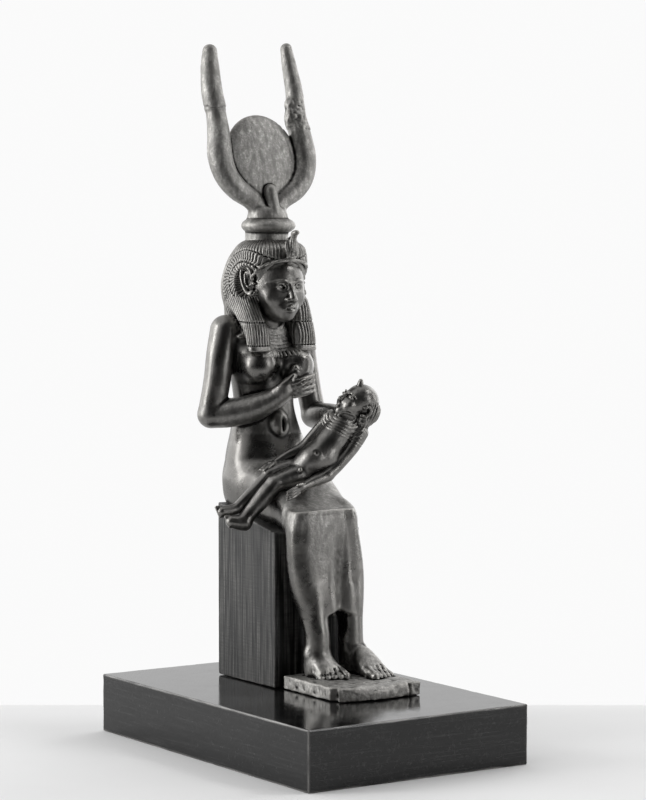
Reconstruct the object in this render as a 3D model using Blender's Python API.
"""Isis statue: a bronze seated mother with her child, on a dark seat block and a black base slab.

Metres, +Z up. The origin is the middle of the slab's underside and she faces -Y. The block and the slab
follow named sizes. The figure keeps its own pose, so its points are in parts of its height.
"""

import math

import bmesh
import bpy
from mathutils import Matrix, Vector

# Driving sizes
STATUE_HEIGHT = 0.219
BASE_LENGTH = 0.130
BASE_WIDTH = 0.086
BASE_THICK = 0.020
BASE_EDGE = 0.0008
BLOCK_EDGE = 0.0005
CLEARANCE = 0.0003

# The figure's own parts: a point of the pose is in parts of its height, over the slab, from its midline
PARTS_TALL = 219
PART = STATUE_HEIGHT / PARTS_TALL
MIDLINE_X = 7 * PART

# Seat block, in the figure's parts, because it is cut to fit her
BLOCK_HALF_WIDTH = 17.2
BLOCK_FRONT_Y = 5.4
BLOCK_BACK_Y = 41.5
BLOCK_FRONT_TOP = 52.8
BLOCK_BACK_TOP = 60.3
CUT_BEHIND = 14

# Footplate, in the figure's parts
PLATE_THICK = 4.7
PLATE_OUTLINE = [
    (-15.0, 3.2), (-15.6, -25.6), (-13.2, -27.2), (-15.2, -30.2),
    (-1.6, -33.4), (16.6, -31.4), (17.2, 3.0),
]

# Feet and hands, in the figure's parts. The toes go from the big one outwards
TOE_RADII = (1.6, 1.25, 1.2, 1.1, 1.0)
TOE_STEP = 2.3
TOE_LENGTH = 5.0
TOE_ROOT_RISE = 1.0
SOLE_SINK = 1.0
FINGERS = 4
FINGER_STEP = 1.35

# How far the disc leans back, and the way the child's head and her right palm tilt, in degrees
DISC_LEAN = 14
CHILD_HEAD_TURN = 36
PALM_TURN = -20

# How fine the figure is, in its parts
VOXEL = 0.72
SMOOTH_ROUNDS = 3
SMOOTH_SHARE = 0.5
KEPT_SHARE = 0.066
ROUND_SIDES = 20
BALL_RINGS = 12
EDGE_SEGMENTS = 2

ACROSS = Vector((1, 0, 0))
BACKWARD = Vector((0, 1, 0))
UPWARD = Vector((0, 0, 1))


def clear_scene():
    for obj in list(bpy.data.objects):
        bpy.data.objects.remove(obj)


def material(name, colour, roughness, metallic):
    made = bpy.data.materials.new(name)
    made.use_nodes = True
    shader = made.node_tree.nodes["Principled BSDF"]
    shader.inputs["Base Color"].default_value = (*colour, 1)
    shader.inputs["Roughness"].default_value = roughness
    shader.inputs["Metallic"].default_value = metallic
    made.diffuse_color = (*colour, 1)
    made.roughness = roughness
    made.metallic = metallic
    return made


def place(x, y, z):
    """A point of the pose, from parts of the statue's height to metres."""
    return Vector((MIDLINE_X + x * PART, y * PART, BASE_THICK + z * PART))


def object_from(bm, name, slot=None):
    bmesh.ops.recalc_face_normals(bm, faces=bm.faces)
    mesh = bpy.data.meshes.new(name)
    bm.to_mesh(mesh)
    bm.free()
    made = bpy.data.objects.new(name, mesh)
    bpy.context.scene.collection.objects.link(made)
    if slot:
        mesh.materials.append(slot)
    return made


def helper_from(bm, name):
    made = object_from(bm, name)
    made.hide_render = True
    made.display_type = "WIRE"
    return made


def ring(bm, centre, across, deep, half_across, half_deep, squareness):
    """One closed loop of points. Squareness 2 is an ellipse and more makes it boxier."""
    corners = []
    for step in range(ROUND_SIDES):
        angle = 2 * math.pi * step / ROUND_SIDES
        u = math.copysign(abs(math.cos(angle)) ** (2 / squareness), math.cos(angle))
        v = math.copysign(abs(math.sin(angle)) ** (2 / squareness), math.sin(angle))
        offset = across * (u * half_across * PART) + deep * (v * half_deep * PART)
        corners.append(bm.verts.new(centre + offset))
    return corners


def skin(bm, rings):
    """Sides between the loops, and a cap at each end."""
    for lower, upper in zip(rings, rings[1:]):
        for step in range(ROUND_SIDES):
            after = (step + 1) % ROUND_SIDES
            bm.faces.new((lower[step], lower[after], upper[after], upper[step]))
    bm.faces.new(rings[0][::-1])
    bm.faces.new(rings[-1])


def column(bm, stations, squareness=2.0):
    """An upright form from level sections: (x, y, z, half width, half depth)."""
    rings = []
    for x, y, z, half_width, half_depth in stations:
        rings.append(ring(bm, place(x, y, z), ACROSS, BACKWARD, half_width, half_depth, squareness))
    skin(bm, rings)


def slab_run(bm, stations, squareness=2.0):
    """A lying form from upright sections across her: (x, y, z, half width, half height)."""
    rings = []
    for x, y, z, half_width, half_height in stations:
        rings.append(ring(bm, place(x, y, z), ACROSS, UPWARD, half_width, half_height, squareness))
    skin(bm, rings)


def limb(bm, stations):
    """A round limb through points: (x, y, z, radius). Its ends are rounded."""
    points = [place(x, y, z) for x, y, z, radius in stations]
    side = (points[1] - points[0]).orthogonal()
    rings = []
    for index, station in enumerate(stations):
        before = points[max(index - 1, 0)]
        after = points[min(index + 1, len(points) - 1)]
        along = (after - before).normalized()
        side = (side - along * side.dot(along)).normalized()
        rings.append(ring(bm, points[index], side, along.cross(side), station[3], station[3], 2))
    skin(bm, rings)
    for point, station in ((points[0], stations[0]), (points[-1], stations[-1])):
        ball_at(bm, point, (station[3],) * 3)


def ball_at(bm, centre, radii, turn=Matrix()):
    size = Matrix.Diagonal((radii[0] * PART, radii[1] * PART, radii[2] * PART, 1))
    where = Matrix.Translation(centre) @ turn.to_4x4() @ size
    bmesh.ops.create_uvsphere(bm, u_segments=ROUND_SIDES, v_segments=BALL_RINGS, radius=1, matrix=where)


def ball(bm, x, y, z, radii, turn=Matrix()):
    ball_at(bm, place(x, y, z), radii, turn)


def add_torso(bm):
    column(bm, [
        (0, 34.5, 53, 13.5, 9.5), (0, 34.8, 60, 15.2, 11), (0, 35.2, 65, 16.2, 12),
        (0, 35.6, 70, 16.4, 12.2), (0, 36.6, 77, 15.2, 11.2), (0, 38.0, 85, 12.6, 9.6),
        (0, 39.0, 93, 10.8, 8.6), (0, 39.0, 98, 11.2, 8.7), (0, 38.0, 105, 13.0, 9.2),
        (0, 38.0, 112, 14.2, 9.0), (0, 38.8, 118, 15.4, 8.0), (0, 39.6, 122, 14.2, 6.8),
        (0, 39.6, 125, 9.0, 5.8),
    ], 2.2)
    for x, y in ((-7.0, 30.2), (8.0, 29.0)):
        ball(bm, x, y, 108.0, (6.2, 5.6, 6.4))
    ball(bm, 0, 30.2, 87.2, (4.2, 4.0, 5.4))
    limb(bm, [(0, 38.6, 121, 6.2), (0, 35.0, 130, 5.6)])


def add_lap(bm):
    slab_run(bm, [
        (0, 40, 66, 15.5, 8.5), (0, 30, 65.5, 15.8, 9.6), (0, 20, 63.2, 15.0, 9.6),
        (0, 12, 60.4, 13.8, 7.8), (-0.8, 5, 57.2, 13.2, 6.7), (-1.8, -2.0, 54.6, 12.4, 6.5),
        (-2.0, -5.0, 54.2, 11.6, 6.0),
    ], 3.4)


def add_shins(bm):
    column(bm, [
        (0.6, -2.0, 25.4, 11.2, 4.4), (0.2, -1.4, 29.5, 12.8, 4.9), (-0.2, -0.8, 36, 14.0, 5.2),
        (-0.9, -0.4, 44, 14.2, 5.3), (-2.0, -0.4, 54, 13.5, 5.4), (-2.0, 0.2, 58, 12.4, 5.2),
    ], 2.9)
    limb(bm, [
        (-6.8, -0.8, 33, 5.0), (-6.4, -1.8, 26.5, 4.9), (-5.9, -3.4, 19, 4.4),
        (-5.7, -3.4, 11, 4.4), (-5.6, -3.0, 7, 4.2),
    ])
    limb(bm, [
        (7.8, -0.8, 33, 5.0), (8.2, -1.6, 26.5, 4.8), (8.2, -2.6, 19, 4.3),
        (8.4, -2.6, 11, 4.4), (8.6, -2.6, 7, 4.2),
    ])


def add_foot(bm, heel, middle_toe, toe_slant, inward):
    """One bare foot from the heel to the middle toe's tip: its big toe is the inward one, and the longest."""
    stations = []
    for share, height, half_width in ((0, 6.5, 3.4), (0.3, 8.6, 3.7), (0.55, 6.6, 4.4), (0.75, 4.4, 5.2)):
        x = heel[0] + (middle_toe[0] - heel[0]) * share
        y = heel[1] + (middle_toe[1] - heel[1]) * share
        stations.append((x, y, PLATE_THICK - SOLE_SINK + height / 2, half_width, height / 2))
    slab_run(bm, stations, 2.3)
    for index, radius in enumerate(TOE_RADII):
        out = index - len(TOE_RADII) // 2
        x = middle_toe[0] - inward * out * TOE_STEP
        y = middle_toe[1] + toe_slant * out + radius
        root = PLATE_THICK + radius + TOE_ROOT_RISE
        limb(bm, [(x, y + TOE_LENGTH, root, radius), (x, y, PLATE_THICK + radius / 2, radius)])


def add_feet(bm):
    add_foot(bm, (-6.0, -1.0), (-4.8, -14.6), 1.45, 1)
    add_foot(bm, (9.0, -2.2), (10.6, -20.0), 0.8, -1)


def add_right_arm(bm):
    limb(bm, [
        (-15.0, 39.8, 119.6, 5.4), (-17.4, 39.2, 112, 4.9), (-18.8, 39.4, 102, 4.7), (-20.2, 41.0, 91, 4.6),
    ])
    limb(bm, [
        (-20.2, 41.0, 90.6, 4.6), (-15.0, 36.6, 91.4, 4.9), (-9.0, 31.0, 92.8, 4.6),
        (-3.4, 25.8, 95.8, 3.6), (-0.4, 23.4, 98.4, 2.9),
    ])
    palm_turn = Matrix.Rotation(math.radians(PALM_TURN), 3, "Y")
    ball(bm, 0.8, 22.6, 100.2, (3.4, 2.2, 3.0), palm_turn)
    for finger in range(FINGERS):
        down = FINGER_STEP * finger
        limb(bm, [(0.6 + down / 4, 21.8, 101.7 - down, 1.1), (8.0 + down / 4, 21.2, 104.6 - down, 0.8)])
    limb(bm, [(-4.6, 25.0, 99.6, 2.0), (-1.4, 22.8, 103.0, 1.8), (1.3, 21.4, 106.4, 1.3)])


def add_left_arm(bm):
    limb(bm, [
        (15.0, 39.8, 119.6, 5.2), (17.0, 40.2, 112, 4.5), (18.6, 38.6, 98, 4.3), (19.4, 36.8, 90, 4.4),
    ])
    limb(bm, [(19.4, 36.8, 89.6, 4.4), (18.6, 28, 90.6, 4.2), (17.6, 19, 90.8, 3.3), (16.8, 13, 89.6, 2.9)])


def add_child(bm):
    limb(bm, [
        (-0.8, 12.0, 73.2, 5.0), (3.4, 10.2, 77.6, 5.0), (8.2, 8.6, 83.0, 5.1), (11.4, 7.8, 87.0, 4.8),
    ])
    limb(bm, [(16.4, 4.8, 85.4, 2.6), (12.6, 7.6, 88.4, 3.6), (8.8, 10.8, 90.4, 2.4)])
    limb(bm, [(12.4, 7.6, 88.4, 3.2), (15.0, 6.4, 92.2, 3.0)])
    head_turn = Matrix.Rotation(math.radians(CHILD_HEAD_TURN), 3, "Y")
    ball(bm, 18.4, 5.2, 96.1, (5.8, 5.3, 5.6), head_turn)
    ball(bm, 13.2, 6.0, 94.4, (4.4, 4.4, 4.8), head_turn)
    ball(bm, 9.8, 6.6, 92.8, (2.2, 2.2, 2.2))
    limb(bm, [(15.6, 4.6, 100.4, 1.4), (16.8, 4.2, 102.2, 1.1)])
    limb(bm, [(21.8, 3.0, 93.0, 2.0), (18.6, 3.6, 88.4, 1.8)])
    ball(bm, 17.0, 4.8, 90.0, (3.0, 3.0, 3.0))
    limb(bm, [(16.4, 4.4, 85.0, 2.6), (11.2, 4.4, 77.6, 2.1), (6.8, 5.0, 72.0, 2.1)])
    limb(bm, [(6.8, 5.0, 71.8, 2.1), (-0.8, 4.9, 69.2, 1.9), (-6.6, 4.6, 67.6, 1.5)])
    limb(bm, [(-6.6, 4.6, 67.4, 1.5), (-11.8, 4.2, 65.8, 1.2)])
    limb(bm, [(8.8, 10.8, 90.4, 2.3), (4.6, 13.0, 85.4, 1.9), (0.6, 14.8, 80.2, 1.8)])
    limb(bm, [(0.6, 14.8, 80.2, 1.8), (-7.0, 17.2, 76.2, 1.5), (-13.2, 17.8, 73.0, 1.3)])
    limb(bm, [(-1.0, 10.6, 71.6, 3.8), (-7.0, 11.2, 70.6, 3.3), (-12.6, 12.2, 68.8, 2.7)])
    limb(bm, [(-12.6, 12.2, 68.6, 2.7), (-16.4, 13.8, 63.6, 2.7), (-21.0, 15.2, 58.4, 2.0)])
    limb(bm, [(-22.2, 15.6, 55.8, 2.2), (-24.6, 16.2, 56.0, 2.0), (-28.4, 17.2, 56.8, 1.4)])
    limb(bm, [(-2.0, 15.4, 73.4, 3.6), (-7.4, 15.8, 72.8, 3.0), (-12.2, 16.2, 71.4, 2.4)])
    limb(bm, [(-12.2, 16.2, 71.2, 2.4), (-17.0, 17.4, 66.4, 2.1), (-22.8, 18.4, 61.6, 1.8)])
    limb(bm, [(-24.0, 18.6, 59.8, 1.9), (-27.0, 19.2, 59.2, 1.7), (-30.8, 19.6, 59.4, 1.2)])


def add_head(bm):
    ball(bm, 0, 31.5, 137.5, (9.6, 11.0, 12.6))
    ball(bm, 0, 27.0, 132.0, (7.2, 7.0, 6.4))
    limb(bm, [(0, 20.9, 136.4, 1.0), (0, 19.9, 133.6, 1.3)])
    for side in (-1, 1):
        ball(bm, side * 10.8, 31.0, 137.4, (1.8, 2.6, 4.2))


def add_wig(bm):
    column(bm, [
        (0, 45.5, 117, 9.0, 4.4), (0, 44.6, 122, 11.4, 6.2), (0, 40.4, 127.5, 13.2, 10.0),
        (0, 39.6, 132, 14.2, 12.0), (0, 38.6, 137, 14.4, 12.9), (0, 36.6, 143.5, 13.2, 12.6),
        (0, 34.6, 148, 11.4, 11.0), (0, 35.4, 150.6, 8.4, 8.4),
    ], 2.6)
    for side in (-1, 1):
        column(bm, [
            (side * 9.3, 27.4, 113.2, 4.3, 2.4), (side * 9.3, 28.4, 118, 4.4, 2.9),
            (side * 9.6, 31.4, 123, 4.3, 4.6), (side * 10.2, 35.2, 128, 3.8, 6.4),
            (side * 10.4, 33.4, 134, 2.6, 5.4), (side * 10.2, 33.0, 140, 2.2, 5.4),
            (side * 9.2, 34.6, 146, 1.4, 3.0),
        ], 2.8)
    limb(bm, [(0, 22.6, 144.5, 1.4), (0, 20.9, 147.4, 1.9), (0, 20.0, 150.6, 1.5), (0, 18.8, 153.0, 1.2)])


def add_headdress(bm):
    """Drum and torus, the two horns and the disc between them, all leaning back a little."""
    column(bm, [
        (0, 37.0, 149, 7.5, 7.5), (0, 36.8, 153.4, 7.6, 7.6), (0, 36.3, 158.4, 7.2, 7.2),
        (0, 36.3, 161.6, 7.2, 6.0),
    ])
    column(bm, [(0, 36.0, 153.0, 8.3, 8.3), (0, 35.8, 155.6, 9.4, 9.4), (0, 36.0, 158.2, 8.3, 8.3)])
    for side, tip in ((-1, 0), (1, 1.2)):
        limb(bm, [
            (side * 3.2, 36.6, 161.4, 3.4), (side * 6.6, 36.8, 164.6, 3.3), (side * 12.0, 37.2, 168.2, 3.8),
            (side * 15.7, 38.2, 173.0, 4.1), (side * 17.2, 39.6, 179.4, 4.3), (side * 16.7, 41.2, 186.4, 4.0),
            (side * 16.4, 43.4, 194, 3.5), (side * 16.9, 45.4, 202, 3.1), (side * 16.3, 47.6, 211, 2.6),
            (side * 15.7, 48.6, 215.9 + tip, 2.1),
        ])
    ball(bm, 0, 39.9, 178.4, (14.6, 2.9, 15.8), Matrix.Rotation(math.radians(-DISC_LEAN), 3, "X"))


def figure_body(slot):
    """All of the casting above the footplate, as overlapping closed forms that a voxel pass makes one."""
    bm = bmesh.new()
    for add in (
        add_torso, add_lap, add_shins, add_feet, add_right_arm, add_left_arm,
        add_child, add_head, add_wig, add_headdress,
    ):
        add(bm)
    return object_from(bm, "statue", slot)


def prism(bm, outline, low, high):
    """An upright prism on an outline, in the figure's parts."""
    floor = [bm.verts.new(place(x, y, low)) for x, y in outline]
    roof = [bm.verts.new(place(x, y, high)) for x, y in outline]
    for index in range(len(outline)):
        after = (index + 1) % len(outline)
        bm.faces.new((floor[index], floor[after], roof[after], roof[index]))
    bm.faces.new(floor[::-1])
    bm.faces.new(roof)


def seat_solid(bm, grow, behind):
    """The seat block's wedge, from the slab up, grown all round by the clearance when it is the cutter."""
    half = BLOCK_HALF_WIDTH * PART + grow
    front = BLOCK_FRONT_Y * PART - grow
    back = BLOCK_BACK_Y * PART + grow + behind
    slope = (BLOCK_BACK_TOP - BLOCK_FRONT_TOP) / (BLOCK_BACK_Y - BLOCK_FRONT_Y)
    foot = BASE_THICK + CLEARANCE - grow
    corners = []
    for y in (front, back):
        top = BASE_THICK + BLOCK_FRONT_TOP * PART + slope * (y - BLOCK_FRONT_Y * PART) + grow
        for x in (MIDLINE_X - half, MIDLINE_X + half):
            corners.append((bm.verts.new((x, y, foot)), bm.verts.new((x, y, top))))
    (a, a_top), (b, b_top), (c, c_top), (d, d_top) = corners
    for face in ((a, b, b_top, a_top), (b, d, d_top, b_top), (d, c, c_top, d_top), (c, a, a_top, c_top)):
        bm.faces.new(face)
    bm.faces.new((a, c, d, b))
    bm.faces.new((a_top, b_top, d_top, c_top))


def boolean(obj, other, operation):
    cut = obj.modifiers.new(other.name, "BOOLEAN")
    cut.operation = operation
    cut.solver = "EXACT"
    cut.object = other


def bevel(obj, width):
    edge = obj.modifiers.new("soft edges", "BEVEL")
    edge.width = width
    edge.segments = EDGE_SEGMENTS
    edge.limit_method = "ANGLE"


def build_statue(slot):
    statue = figure_body(slot)
    fuse = statue.modifiers.new("one casting", "REMESH")
    fuse.mode = "VOXEL"
    fuse.voxel_size = VOXEL * PART
    soften = statue.modifiers.new("soft joins", "SMOOTH")
    soften.factor = SMOOTH_SHARE
    soften.iterations = round(SMOOTH_ROUNDS)
    thin = statue.modifiers.new("fewer facets", "DECIMATE")
    thin.ratio = KEPT_SHARE

    plate = bmesh.new()
    prism(plate, PLATE_OUTLINE, CLEARANCE / PART, PLATE_THICK)
    boolean(statue, helper_from(plate, "plate_shape"), "UNION")

    seat = bmesh.new()
    seat_solid(seat, CLEARANCE, CUT_BEHIND * PART)
    boolean(statue, helper_from(seat, "seat_cutter"), "DIFFERENCE")
    return statue


def build_block(slot):
    bm = bmesh.new()
    seat_solid(bm, 0, 0)
    block = object_from(bm, "seat_block", slot)
    bevel(block, BLOCK_EDGE)
    return block


def build_base(slot):
    bm = bmesh.new()
    size = Matrix.Diagonal((BASE_WIDTH, BASE_LENGTH, BASE_THICK, 1))
    bmesh.ops.create_cube(bm, size=1, matrix=Matrix.Translation((0, 0, BASE_THICK / 2)) @ size)
    base = object_from(bm, "base_slab", slot)
    bevel(base, BASE_EDGE)
    return base


def main():
    clear_scene()
    build_statue(material("bronze", (0.045, 0.042, 0.038), 0.28, 1.0))
    build_block(material("block_wood", (0.03, 0.03, 0.029), 0.5, 0.0))
    build_base(material("base_black", (0.012, 0.012, 0.012), 0.18, 0.0))


main()
